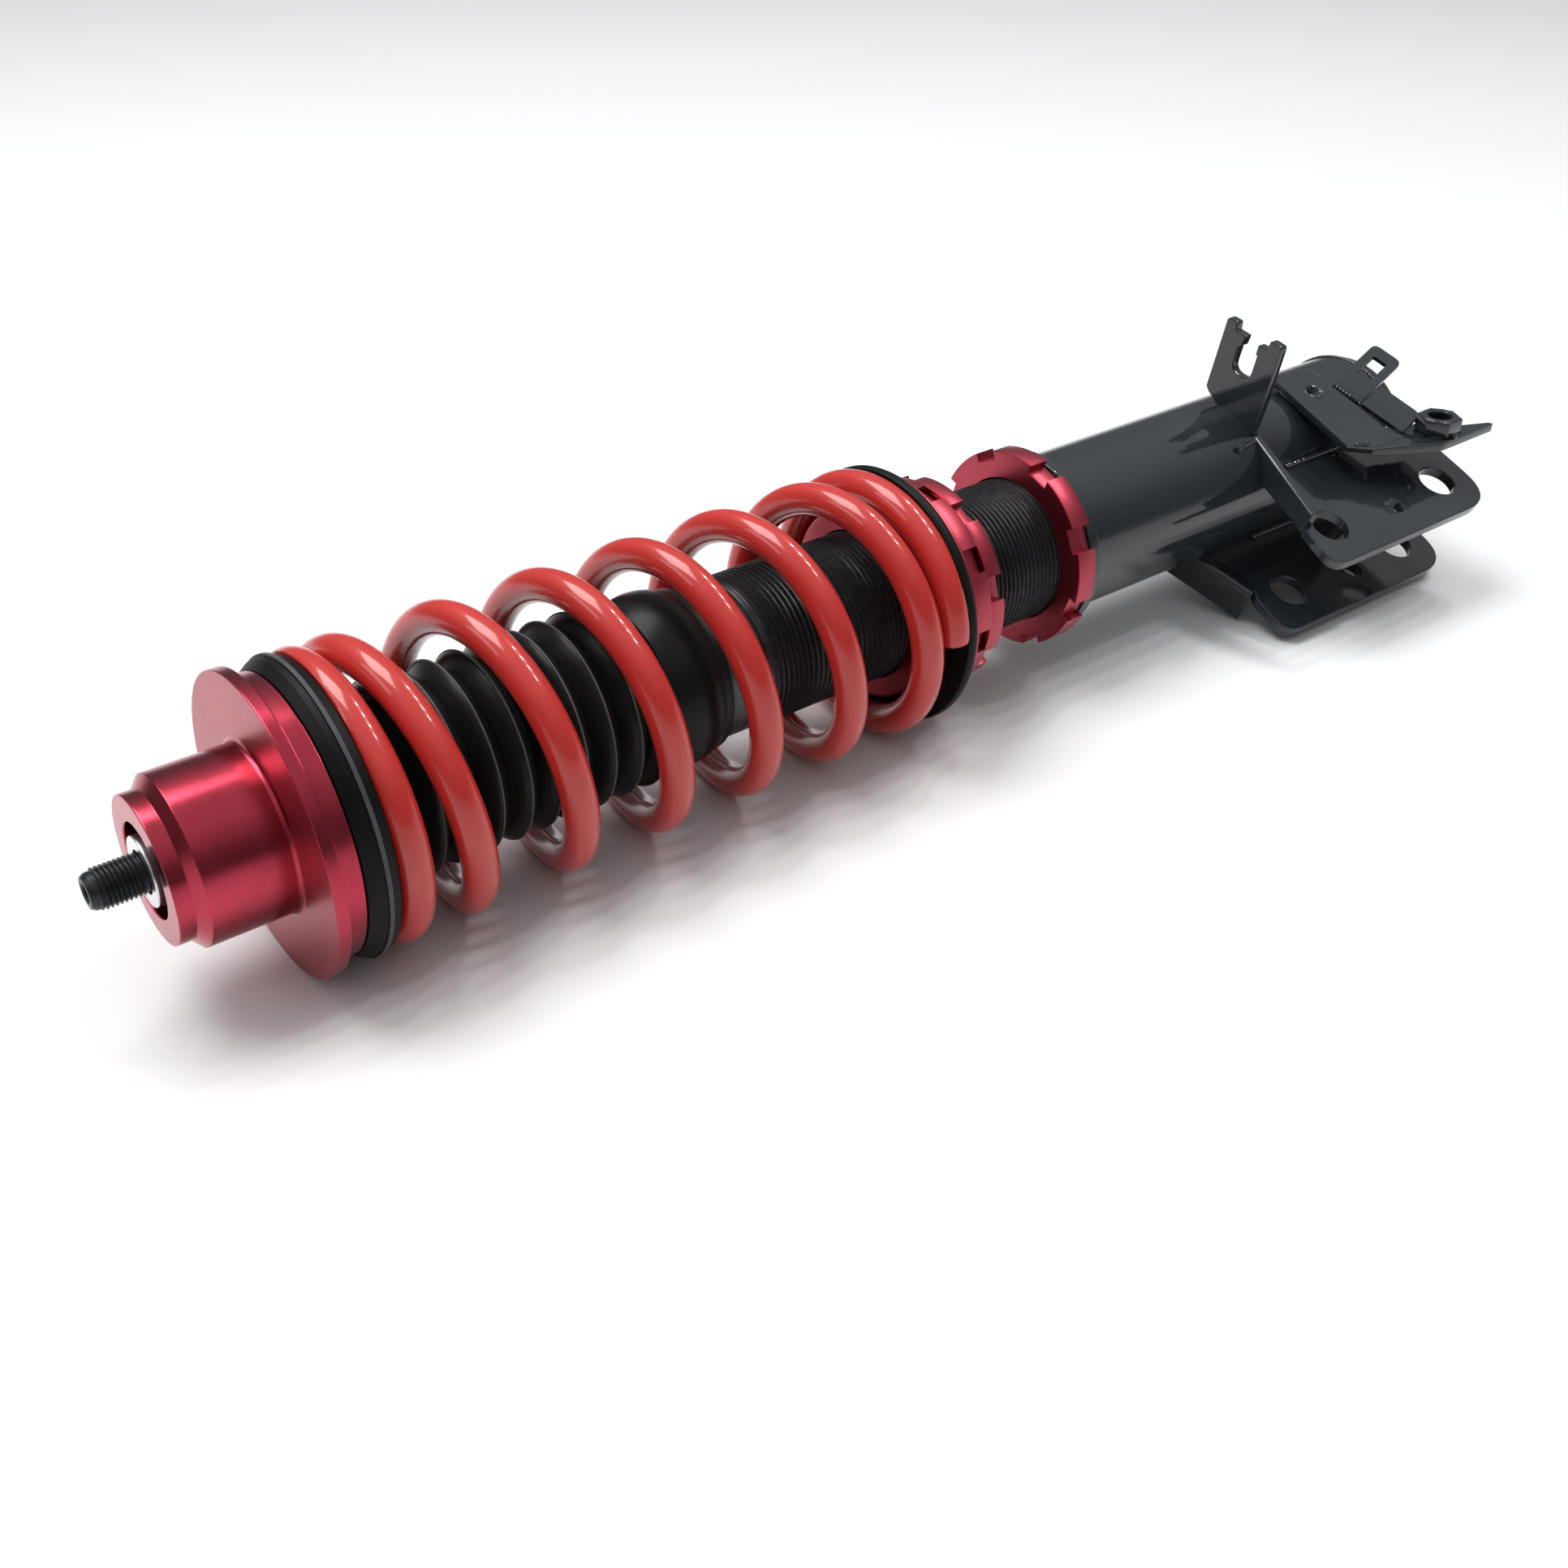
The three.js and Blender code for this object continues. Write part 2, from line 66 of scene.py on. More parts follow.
# ---- Sizes, in millimetres ----
SPRING_TOP, SPRING_BOTTOM = 19.6, 222.5
SPRING_TURNS, SPRING_START_TURN = 7.34, -0.1
SPRING_PHASE = 91.5
COIL_RADIUS, WIRE_RADIUS = 39.85, 5.35
WIRE_TIP = 0.94  # the wire's last ring, as a share of its radius
DEAD_PITCH, COIL_PITCH = 11, 30
BODY_THREAD_RADIUS, BODY_THREAD_PITCH, BODY_THREAD_DEPTH = 25.5, 2.0, 0.95
THREAD_START, BODY_END = 157, 392
STUD_RADIUS, STUD_PITCH, STUD_TIP = 6, 1.25, -49
TUBE_RADIUS = 28.8
WALL_MIDDLE = 27.4  # the radius that the bracket's sheets are cut back to
EAR_TOP, EAR_THICK, EAR_REACH = 19, 4, 69.8
BOLT_STATIONS, BOLT_Y, BOLT_HOLE = (392.7, 458.1), -52.9, 7.3
FLANGE_THICK = 3.6
LOCK_SLOT_DEPTH, LOCK_SLOT_WIDTH, LOCK_SLOTS = 3.2, 8.5, 8
SEAT = TUBE_RADIUS + 0.3


# ---- Materials ----
def fill_ramp(ramp, stops):
    """Sets a colour ramp's stops, each (position, colour)."""
    while len(ramp.elements) < len(stops):
        ramp.elements.new(0.5)
    for element, (at, colour) in zip(ramp.elements, stops):
        element.position = at
        element.color = (*colour, 1) if isinstance(colour, tuple) else (colour, colour, colour, 1)


class Surface:
    """A material's node tree, with the few node patterns that the finishes share."""

    def __init__(self, name, **constants):
        self.material = bpy.data.materials.new(name)
        self.material.use_nodes = True
        self.nodes = self.material.node_tree.nodes
        self.links = self.material.node_tree.links
        self.shader = self.nodes["Principled BSDF"]
        for socket, value in constants.items():
            self.shader.inputs[socket.replace("_", " ")].default_value = value
        self.place = self.nodes.new("ShaderNodeTexCoord").outputs["Object"]
        self.normal = None

    def noise(self, scale, detail=2.0, vector=None, rough=0.5):
        node = self.nodes.new("ShaderNodeTexNoise")
        node.inputs["Scale"].default_value = scale
        node.inputs["Detail"].default_value = detail
        node.inputs["Roughness"].default_value = rough
        self.links.new(vector or self.place, node.inputs["Vector"])
        return node.outputs["Fac"]

    def turned_place(self):
        """Coordinates that are the same all the way round the axis: x, radius, nothing."""
        offset = self.nodes.new("ShaderNodeVectorMath")
        offset.operation = "SUBTRACT"
        offset.inputs[1].default_value = (0, axis_y, axis_z)
        self.links.new(self.place, offset.inputs[0])
        flat = self.nodes.new("ShaderNodeVectorMath")
        flat.operation = "MULTIPLY"
        flat.inputs[1].default_value = (0, 1, 1)
        self.links.new(offset.outputs[0], flat.inputs[0])
        radius = self.nodes.new("ShaderNodeVectorMath")
        radius.operation = "LENGTH"
        self.links.new(flat.outputs[0], radius.inputs[0])
        parts = self.nodes.new("ShaderNodeSeparateXYZ")
        self.links.new(offset.outputs[0], parts.inputs[0])
        joined = self.nodes.new("ShaderNodeCombineXYZ")
        self.links.new(parts.outputs["X"], joined.inputs["X"])
        self.links.new(radius.outputs["Value"], joined.inputs["Y"])
        return joined.outputs[0]

    def ramp(self, fac, stops):
        node = self.nodes.new("ShaderNodeValToRGB")
        fill_ramp(node.color_ramp, stops)
        self.links.new(fac, node.inputs["Fac"])
        return node.outputs["Color"]

    def span(self, fac, low, high):
        node = self.nodes.new("ShaderNodeMapRange")
        node.inputs["To Min"].default_value = low
        node.inputs["To Max"].default_value = high
        self.links.new(fac, node.inputs["Value"])
        return node.outputs["Result"]

    def bump(self, height, strength, distance):
        node = self.nodes.new("ShaderNodeBump")
        node.inputs["Strength"].default_value = strength
        node.inputs["Distance"].default_value = distance
        self.links.new(height, node.inputs["Height"])
        if self.normal:
            self.links.new(self.normal, node.inputs["Normal"])
        self.normal = node.outputs["Normal"]
        self.links.new(self.normal, self.shader.inputs["Normal"])

    def drive(self, socket, source):
        self.links.new(source, self.shader.inputs[socket])


def anodised(name, haze, rough, line_depth, grain_depth):
    """Red anodised aluminium: lines from the lathe around the axis, and a fine etched grain."""
    s = Surface(name, Metallic=1.0, Coat_Weight=haze, Coat_Roughness=0.3)
    reds = [(0.35, (0.37, 0.033, 0.056)), (0.65, (0.43, 0.041, 0.067))]
    s.drive("Base Color", s.ramp(s.noise(60, 3), reds))
    turned = s.turned_place()
    s.drive("Roughness", s.span(s.noise(700, 2, turned), *rough))
    s.bump(s.noise(2200, 2, turned), line_depth, 0.00002)
    s.bump(s.noise(2500, 2), grain_depth, 0.00002)
    return s.material


def powder_coat():
    s = Surface("red_powder_coat", Coat_Weight=0.65, Coat_Roughness=0.03, Specular_IOR_Level=0.25)
    reds = [(0.3, (0.49, 0.027, 0.022)), (0.7, (0.53, 0.032, 0.026))]
    s.drive("Base Color", s.ramp(s.noise(45, 3), reds))
    s.drive("Roughness", s.span(s.noise(400, 3), 0.22, 0.28))
    s.bump(s.noise(150, 2), 0.025, 0.0002)
    nibs = s.nodes.new("ShaderNodeTexVoronoi")
    nibs.inputs["Scale"].default_value = 75
    s.links.new(s.place, nibs.inputs["Vector"])
    s.bump(s.ramp(nibs.outputs["Distance"], [(0.0, 1.0), (0.06, 0.0)]), 0.12, 0.0002)
    return s.material


def gloss_black():
    s = Surface("black_gloss_paint", Coat_Weight=0.25, Coat_Roughness=0.03, Specular_IOR_Level=0.5)
    blacks = [(0.35, (0.0155, 0.0195, 0.0235)), (0.7, (0.0195, 0.0245, 0.0290))]
    s.drive("Base Color", s.ramp(s.noise(30, 4), blacks))
    s.drive("Roughness", s.span(s.noise(220, 3), 0.06, 0.13))
    s.bump(s.noise(160, 2), 0.10, 0.0004)
    s.bump(s.noise(1500, 2), 0.05, 0.00005)
    return s.material


def black_oxide():
    s = Surface("black_oxide", Metallic=0.6, Specular_IOR_Level=0.45)
    blacks = [(0.3, (0.014, 0.015, 0.017)), (0.7, (0.030, 0.031, 0.034))]
    s.drive("Base Color", s.ramp(s.noise(300, 4), blacks))
    s.drive("Roughness", s.span(s.noise(700, 3), 0.30, 0.46))
    s.bump(s.noise(4000, 2, s.turned_place()), 0.12, 0.00003)
    return s.material


def moulded(name, low, high, rough=(0.40, 0.55)):
    """Black rubber or plastic, between two depths of grey."""
    s = Surface(name, Specular_IOR_Level=0.13)
    greys = [(0.3, (low, low, low * 1.06)), (0.7, (high, high, high * 1.06))]
    s.drive("Base Color", s.ramp(s.noise(80, 4), greys))
    s.drive("Roughness", s.span(s.noise(350, 4), *rough))
    s.bump(s.noise(2600, 3), 0.10, 0.00006)
    return s.material


def plated(name, colour, rough=(0.18, 0.34), metallic=1.0):
    s = Surface(name, Metallic=metallic)
    darker = tuple(0.85 * c for c in colour)
    s.drive("Base Color", s.ramp(s.noise(160, 4), [(0.3, darker), (0.7, colour)]))
    s.drive("Roughness", s.span(s.noise(900, 3, s.turned_place()), *rough))
    s.bump(s.noise(6000, 2, s.turned_place()), 0.10, 0.00002)
    return s.material


def foam():
    s = Surface("yellow_foam", Specular_IOR_Level=0.25)
    yellows = [(0.3, (0.55, 0.40, 0.12)), (0.7, (0.70, 0.54, 0.20))]
    s.drive("Base Color", s.ramp(s.noise(500, 5), yellows))
    s.drive("Roughness", s.span(s.noise(900, 3), 0.7, 0.9))
    s.bump(s.noise(1800, 4), 0.4, 0.0003)
    return s.material


def floor_paper():
    s = Surface("floor_white", Specular_IOR_Level=0.5)
    whites = [(0.3, (0.865, 0.866, 0.872)), (0.7, (0.875, 0.876, 0.88))]
    s.drive("Base Color", s.ramp(s.noise(400, 2), whites))
    s.drive("Roughness", s.span(s.noise(300, 2), 0.27, 0.29))
    return s.material


RED = anodised("red_anodised_turned", 0.10, (0.19, 0.25), 0.05, 0.02)
RED_SATIN = anodised("red_anodised_satin", 0.40, (0.36, 0.44), 0.03, 0.12)
COAT = powder_coat()
GLOSS = gloss_black()
OXIDE = black_oxide()
RUBBER = moulded("black_rubber", 0.0035, 0.0065)
BOOT_RUBBER = moulded("glossy_boot_rubber", 0.0075, 0.0110, (0.24, 0.36))
# Light grey for the boot's crest seams: a painted highlight standing for the light that each raised
# seam catches; the seam's shape is real, its lighter colour is not
SEAM_PAINTED_HIGHLIGHT = moulded("rubber_seam_painted_highlight", 0.075, 0.11)
ISOLATOR_LINE = moulded("grey_rubber_lip", 0.060, 0.085)
ZINC = plated("zinc_plate", (0.72, 0.73, 0.74))
GLAND = plated("black_anodised", (0.075, 0.079, 0.084), (0.30, 0.38))
CHROME = plated("hard_chrome", (0.80, 0.81, 0.83), (0.06, 0.12))
BRONZE = plated("sintered_bronze", (0.52, 0.33, 0.14), (0.35, 0.5))
STEEL = plated("machined_steel", (0.46, 0.47, 0.49), (0.26, 0.4))
FOAM = foam()
PLASTIC = moulded("moulded_plastic", 0.020, 0.035)


# ---- Mesh helpers ----
def softened(corners, steps=4, support=True):
    """A closed outline from (a, b, radius) corners, rounded, with support points by the rounds."""
    points = []
    count = len(corners)
    for i, (a, b, radius) in enumerate(corners):
        here = Vector((a, b))
        before = Vector(corners[i - 1][:2]) - here
        after = Vector(corners[(i + 1) % count][:2]) - here
        if radius <= 0:
            points.append(here)
            continue
        half = before.angle(after) / 2
        reach = min(radius / math.tan(half), before.length * 0.45, after.length * 0.45)
        start, end = here + before.normalized() * reach, here + after.normalized() * reach
        guard = min(0.15, before.length * 0.04, after.length * 0.04)
        if support:
            points.append(start + before.normalized() * guard)
        for k in range(steps + 1):
            t = k / steps
            points.append(start * (1 - t) ** 2 + here * 2 * t * (1 - t) + end * t**2)
        if support:
            points.append(end + after.normalized() * guard)
    return points


def welded(mesh):
    """Joins a mesh's doubled points and faces it outwards."""
    bm = bmesh.new()
    bm.from_mesh(mesh)
    bmesh.ops.remove_doubles(bm, verts=bm.verts, dist=1e-4)
    bmesh.ops.recalc_face_normals(bm, faces=bm.faces)
    bm.to_mesh(mesh)
    bm.free()
    return mesh


def mesh_of(verts, faces, weld=True):
    mesh = bpy.data.meshes.new("part")
    mesh.from_pydata(verts, [], faces)
    return welded(mesh) if weld else mesh


def closed_rings(count, sides):
    """The faces of a tube of count rings, each of sides points, closed by a face at each end."""
    faces = []
    for i in range(count - 1):
        for k in range(sides):
            a, b, j = i * sides, (i + 1) * sides, (k + 1) % sides
            faces.append((a + k, a + j, b + j, b + k))
    last = (count - 1) * sides
    return faces + [tuple(reversed(range(sides))), tuple(last + k for k in range(sides))]


def lathe(outline, segments=128):
    """Turns a closed outline of (x, radius) points around the x axis."""
    count = len(outline)
    verts, faces = [], []
    for k in range(segments):
        angle = 2 * math.pi * k / segments
        c, s = math.cos(angle), math.sin(angle)
        verts += [(x, r * c, r * s) for x, r in outline]
    for k in range(segments):
        a, b = k * count, ((k + 1) % segments) * count
        for i in range(count):
            j = (i + 1) % count
            if outline[i][1] or outline[j][1]:
                faces.append((a + i, a + j, b + j, b + i))
    return mesh_of(verts, faces)


def turned(corners, segments=128):
    return lathe(softened(corners), segments)


def evaluated_mesh(holder):
    """A new mesh of an object as its modifiers or its curve settings leave it."""
    bpy.context.view_layer.update()
    settled = holder.evaluated_get(bpy.context.evaluated_depsgraph_get())
    return bpy.data.meshes.new_from_object(settled)


def outside_tube(mesh):
    """A sheet of the bracket, cut back to the middle of the tube's wall."""
    start, end = 340, 480  # past every sheet's ends
    core = turned([(start, 0, 0), (start, WALL_MIDDLE, 0), (end, WALL_MIDDLE, 0), (end, 0, 0)], 192)
    sheet = bpy.data.objects.new("sheet", welded(mesh))
    knife = bpy.data.objects.new("knife", core)
    for holder in (sheet, knife):
        bpy.context.scene.collection.objects.link(holder)
    cut = sheet.modifiers.new("cut", "BOOLEAN")
    cut.operation = "DIFFERENCE"
    cut.solver = "EXACT"
    cut.object = knife
    left = evaluated_mesh(sheet)
    for holder in (sheet, knife):
        bpy.data.objects.remove(holder)
    return left


def screw(x0, x1, radius, pitch, depth, segments=72):
    """A right-hand thread's ridge, sunk into its bar and fading over a turn at each end."""
    sunk = -depth - 0.25
    shape = [(0.12, -depth), (0.44, 0), (0.68, 0), (0.96, -depth), (0.96, sunk), (0.12, sunk)]
    steps = int(((x1 - x0) / pitch - 1) * segments)
    verts = []
    for i in range(steps + 1):
        angle = 2 * math.pi * i / segments
        c, s = math.cos(angle), math.sin(angle)
        fade = min(1, i / segments, (steps - i) / segments)
        for along, rise in shape:
            r = radius + (fade * depth - depth if rise == 0 else rise)
            verts.append((x0 + pitch * (i / segments + along), r * c, r * s))
    return mesh_of(verts, closed_rings(steps + 1, len(shape)))


def plate(outline, holes, low, high, edge=0.4, steps=8):
    """A round-edged sheet from z low to z high, from (x, y, radius) corners and hole outlines."""
    curve = bpy.data.curves.new("plate", "CURVE")
    curve.dimensions = "2D"
    curve.fill_mode = "BOTH"
    curve.extrude = (high - low) / 2 - edge
    curve.bevel_depth = edge
    curve.bevel_resolution = 1
    curve.offset = -edge
    for ring in [softened(outline, steps, support=False)] + holes:
        spline = curve.splines.new("POLY")
        spline.points.add(len(ring) - 1)
        for point, spot in zip(spline.points, ring):
            point.co = (spot[0], spot[1], 0, 1)
        spline.use_cyclic_u = True
    carrier = bpy.data.objects.new("plate", curve)
    bpy.context.scene.collection.objects.link(carrier)
    mesh = evaluated_mesh(carrier)
    bpy.data.objects.remove(carrier)
    mesh.transform(Matrix.Translation((0, 0, (low + high) / 2)))
    return mesh


def round_hole(x, y, radius, steps=48):
    turn = [2 * math.pi * k / steps for k in range(steps)]
    return [Vector((x + radius * math.cos(a), y + radius * math.sin(a))) for a in turn]


def tube_along(points, radii, sides=24):
    """A closed round tube along points, with a radius at each."""
    verts = []
    last = len(points) - 1
    normal = None
    for i, (point, radius) in enumerate(zip(points, radii)):
        ahead = (points[min(i + 1, last)] - points[max(i - 1, 0)]).normalized()
        if normal is None:
            normal = ahead.orthogonal().normalized()
        normal = (normal - ahead * normal.dot(ahead)).normalized()
        side = ahead.cross(normal)
        for k in range(sides):
            angle = 2 * math.pi * k / sides
            verts.append(point + radius * (math.cos(angle) * normal + math.sin(angle) * side))
    return mesh_of(verts, closed_rings(len(points), sides), weld=False)


def weld_bead(corners, radius=1.7, ripple=1.5):
    """A rippled weld along a path of corners; ripple is one ripple's length."""
    points, radii = [], []
    travelled = 0.0
    for a, b in zip(corners, corners[1:]):
        a, b = Vector(a), Vector(b)
        steps = max(2, int((b - a).length / 0.3))
        for k in range(steps):
            points.append(a.lerp(b, k / steps))
            swell = abs(math.sin(math.pi * travelled / ripple))
            radii.append(radius * (0.82 + 0.18 * swell))
            travelled += (b - a).length / steps
    points.append(Vector(corners[-1]))
    radii.append(radius * 0.6)
    radii[0] = radius * 0.6
    return tube_along(points, radii, 12)


def show(name, body, parts, stands_for=(), sharp=28):
    """Joins parts, each (mesh, placement, material), into one piece that rides on a body.

    Edges sharper than sharp degrees stay crisp.
    """
    joined = bmesh.new()
    materials = []
    for mesh, place, material in parts:
        if material not in materials:
            materials.append(material)
        first_vert, first_face = len(joined.verts), len(joined.faces)
        joined.from_mesh(mesh)
        joined.verts.ensure_lookup_table()
        joined.faces.ensure_lookup_table()
        for vert in joined.verts[first_vert:]:
            vert.co = place @ vert.co
        for face in joined.faces[first_face:]:
            face.material_index = materials.index(material)
            face.smooth = True
    whole = bpy.data.meshes.new(name)
    joined.to_mesh(whole)
    joined.free()
    whole.set_sharp_from_angle(angle=math.radians(sharp))
    for material in materials:
        whole.materials.append(material)
    piece = bpy.data.objects.new(name, whole)
    bpy.context.scene.collection.objects.link(piece)
    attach(piece, body)
    if stands_for:
        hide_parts(*stands_for)
    return piece


# ---- Top: rod, washer, hat, isolator, bump stop ----
def build_top():
    thread_end = -33
    stud = turned([
        (STUD_TIP + 6, 0, 0), (STUD_TIP + 6, 2.4, 0), (STUD_TIP + 0.4, 2.7, 0.3),
        (STUD_TIP, 3.3, 0.3), (STUD_TIP, STUD_RADIUS - 1.5, 0.3),
        (STUD_TIP + 1.25, STUD_RADIUS - 0.7, 0.2), (-30.9, STUD_RADIUS - 0.7, 0), (-30.9, 0, 0),
    ], 64)
    thread = screw(STUD_TIP + 1.2, thread_end, STUD_RADIUS, STUD_PITCH, 0.75, 64)
    shaft = turned([
        (-31, 0, 0), (-31, 9.4, 0.2), (-30.4, 10, 0.2), (173, 10, 0.3), (173, 6, 0), (196, 6, 0.3),
        (196, 0, 0),
    ])
    show("rod_and_stud", "rod",
         [(stud, STRUT, OXIDE), (thread, STRUT, OXIDE), (shaft, STRUT, CHROME)],
         ["piston_rod"])
    washer = turned([
        (-33.8, 6.4, 0.3), (-33.8, 10.3, 0.5), (-31.3, 10.3, 0.4), (-31.3, 6.4, 0.2),
    ], 96)
    show("shoulder_washer", "rod", [(washer, STRUT, ZINC)], ["rod_washer"])
    hat = turned([
        (-33, 14, 0.5), (-33, 21.7, 0.5), (-28.3, 21.7, 0.2), (-25.5, 25.1, 0.3), (0, 25.1, 1.5),
        (0, 45.4, 0.35), (3.8, 45.4, 0.35), (3.8, 42, 0.3), (10, 42, 0.3), (10, 33.4, 0.2),
        (25.6, 33.4, 1.2), (25.6, 30.2, 0.5), (10.7, 30.2, 0.3), (10.7, 14, 0.4),
    ], 192)
    face = turned([(-0.03, 26.7, 0), (-0.03, 45, 0.02), (0.4, 45, 0), (0.4, 26.7, 0)], 192)
    show("top_hat_turned", "upper_seat", [(hat, STRUT, RED), (face, STRUT, RED_SATIN)],
         ["top_hat"])
    isolator = turned([
        (10.3, 33.7, 0), (10.3, 42.2, 0.4), (13.2, 44.3, 0.8), (14.9, 44.6, 0.2), (14.9, 45.2, 0.3),
        (16.4, 45.2, 0.3), (16.4, 44.6, 0.2), (19.3, 43.8, 0.8), (19.3, 33.7, 0),
    ], 160)
    lip = turned([(14.95, 44, 0), (14.95, 45.28, 0.3), (16.35, 45.28, 0.3), (16.35, 44, 0)], 160)
    show("upper_isolator_pad", "upper_seat",
         [(isolator, STRUT, RUBBER), (lip, STRUT, ISOLATOR_LINE)],
         ["upper_isolator"])
    stop = lathe(wavy(14, 55, 10.6, 18, 12.6, 3), 72)
    show("bump_stop_foam", "upper_seat", [(stop, STRUT, FOAM)], ["bump_stop"])


def wavy(x0, x1, bore, r0, r1, waves):
    """A tapered outline with waves, closed on a straight bore."""
    steps = 16 * waves
    points = []
    for i in range(steps + 1):
        t = i / steps
        mean = r0 + (r1 - r0) * t
        points.append((x0 + (x1 - x0) * t, mean - 1.6 * abs(math.sin(math.pi * waves * t)) ** 4))
    return points + [(x1, bore), (x0, bore)]


# ---- Dust boot: bellows folds, and a cuff ----
def build_boot():
    first_fold, pitch, folds = 30.8, 9.4, 10
    crest, valley, wall = 29.55, 24.6, 1.5
    start, cuff = 14, first_fold + pitch * (folds - 0.5)
    outline = [(start, 29.3), (start + 9, 29.3), (first_fold - pitch / 2 - 1.2, 25.2)]
    ridges = []
    per_fold = 22
    for fold in range(folds):
        for k in range(per_fold):
            u = k / per_fold
            x = first_fold + (fold - 0.5 + u) * pitch
            outline.append((x, valley + (crest - 0.15 - valley) * (1 - abs(2 * u - 1) ** 1.6)))
        x = first_fold + fold * pitch
        ridges.append((x, crest + 0.2))
    outline.append((cuff, valley))
    inner = [(x, r - wall) for x, r in reversed(outline)]
    bellows = lathe(outline + inner, 112)
    lines = []
    # A raised seam ring on each crest, coloured light grey as a painted highlight along the crest
    for x, r in ridges:
        line = softened([
            (x - 0.3, r - 1, 0), (x - 0.3, r, 0.2), (x + 0.3, r, 0.2), (x + 0.3, r - 1, 0),
        ], 2)
        lines.append((lathe(line, 112), STRUT, SEAM_PAINTED_HIGHLIGHT))
    piece = show("dust_boot_folds", "dust_cover", [(bellows, STRUT, BOOT_RUBBER)] + lines,
                 ["dust_boot"], 50)
    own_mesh(piece)
    bulb = [(cuff - 0.3, 24.4)]
    for k in range(25):
        u = k / 24
        swell = math.sin(math.pi * (0.08 + 0.80 * u)) ** 0.8
        bulb.append((cuff + 0.4 + 18.6 * u, 24.9 + 3.9 * swell))
    bulb += [(141.6, 26.6), (142, 26.2), (142, 25.1), (139, 25.1), (cuff - 0.3, 23.1)]
    show("dust_boot_cuff", "dust_cover", [(lathe(bulb, 128), STRUT, BOOT_RUBBER)],
         ["dust_boot"], 40)


# ---- Coil spring ----
def spring_station(turns):
    tip = WIRE_RADIUS / 3
    span = SPRING_BOTTOM - SPRING_TOP - 2 * tip
    active_pitch = (span - 2 * DEAD_PITCH) / (SPRING_TURNS - 2)
    active = min(max(turns - 1, 0), SPRING_TURNS - 2)
    return SPRING_TOP + tip + active * active_pitch + (turns - active) * DEAD_PITCH


def build_spring():
    per_turn, sides = 112, 40
    steps = int(SPRING_TURNS * per_turn)
    reach, stride = 14, 0.012  # the change of pitch is averaged over this many strides, in turns
    lowest, highest = SPRING_TOP + 0.02, SPRING_BOTTOM - 0.02
    climb = COIL_PITCH / (2 * math.pi)
    verts = []
    for i in range(steps + 1):
        turns = SPRING_TURNS * i / steps
        window = [min(max(turns + k * stride, 0), SPRING_TURNS) for k in range(-reach, reach + 1)]
        x = sum(spring_station(t) for t in window) / len(window)
        angle = math.radians(SPRING_PHASE) + 2 * math.pi * (SPRING_START_TURN + turns)
        c, s = math.cos(angle), math.sin(angle)
        out = Vector((0, c, s))
        along = Vector((climb, -COIL_RADIUS * s, COIL_RADIUS * c)).normalized()
        side = along.cross(out)
        radius = WIRE_RADIUS * (WIRE_TIP if i in (0, steps) else 1)
        for k in range(sides):
            phi = 2 * math.pi * k / sides
            ring = radius * (math.cos(phi) * out + math.sin(phi) * side)
            spot = Vector((x, 0, 0)) + out * COIL_RADIUS + ring
            spot.x = min(max(spot.x, lowest), highest)
            verts.append(spot)
    coil = mesh_of(verts, closed_rings(steps + 1, sides))
    piece = show("coil_spring_wire", "spring_seat", [(coil, STRUT, COAT)],
                 ["coil_spring"], 35)
    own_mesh(piece)


# ---- Damper body ----
def build_body():
    gland = turned([
        (139, 13, 0.3), (139, 23.3, 0.3), (140.5, 24.8, 0.4), (149.2, 24.8, 0.1),
        (149.5, 24.5, 0.1), (149.8, 24.8, 0.1), (156.7, 24.8, 0.5), (156.7, 19, 0.2),
        (146, 19, 0), (146, 16.3, 0), (141.5, 16.3, 0), (141.5, 13, 0),
    ], 144)
    show("gland_nut_head", "damper_body", [(gland, STRUT, GLAND)], ["gland_nut"])
    root = BODY_THREAD_RADIUS - BODY_THREAD_DEPTH
    core = turned([
        (THREAD_START, 22.4, 0), (THREAD_START, root - 0.4, 0.3),
        (THREAD_START + 1, root + 0.02, 0), (BODY_END - 1.5, root + 0.02, 0),
        (BODY_END, root - 1, 0.3), (BODY_END, 0, 0), (BODY_END - 6, 0, 0), (BODY_END - 6, 22.4, 0),
    ])
    thread = screw(THREAD_START + 0.6, BODY_END - 2, BODY_THREAD_RADIUS, BODY_THREAD_PITCH,
                   BODY_THREAD_DEPTH, 80)
    show("threaded_body_tube", "damper_body", [(core, STRUT, OXIDE), (thread, STRUT, OXIDE)],
         ["threaded_body"])


# ---- Threaded rings ----
def notched_outline(radius, first):
    """The outline of a ring with square notches round its rim."""
    points = []
    half = LOCK_SLOT_WIDTH / 2
    rim = math.asin(half / radius)
    step = 2 * math.pi / LOCK_SLOTS
    for i in range(LOCK_SLOTS):
        middle = math.radians(first) + i * step
        out = Vector((math.cos(middle), math.sin(middle)))
        side = Vector((-out.y, out.x))
        top = math.sqrt(radius**2 - half**2)
        bottom = radius - LOCK_SLOT_DEPTH
        points += [out * top - side * half, out * bottom - side * half,
                   out * bottom + side * half, out * top + side * half]
        for k in range(1, 10):
            angle = middle + rim + (step - 2 * rim) * k / 10
            points.append(Vector((math.cos(angle), math.sin(angle))) * radius)
    return [(p.x, p.y, 0) for p in points]


# Stands a plate's x, y, z along the strut's y, z, x.
FACE_ON = STRUT @ Matrix(((0, 0, 1, 0), (1, 0, 0, 0), (0, 1, 0, 0), (0, 0, 0, 1)))


def notched_ring(radius, bore, first, x0, x1):
    """A ring from x0 to x1, its first notch at an angle of first degrees."""
    return plate(notched_outline(radius, first), [round_hole(0, 0, bore, 96)], x0, x1, 0.35)


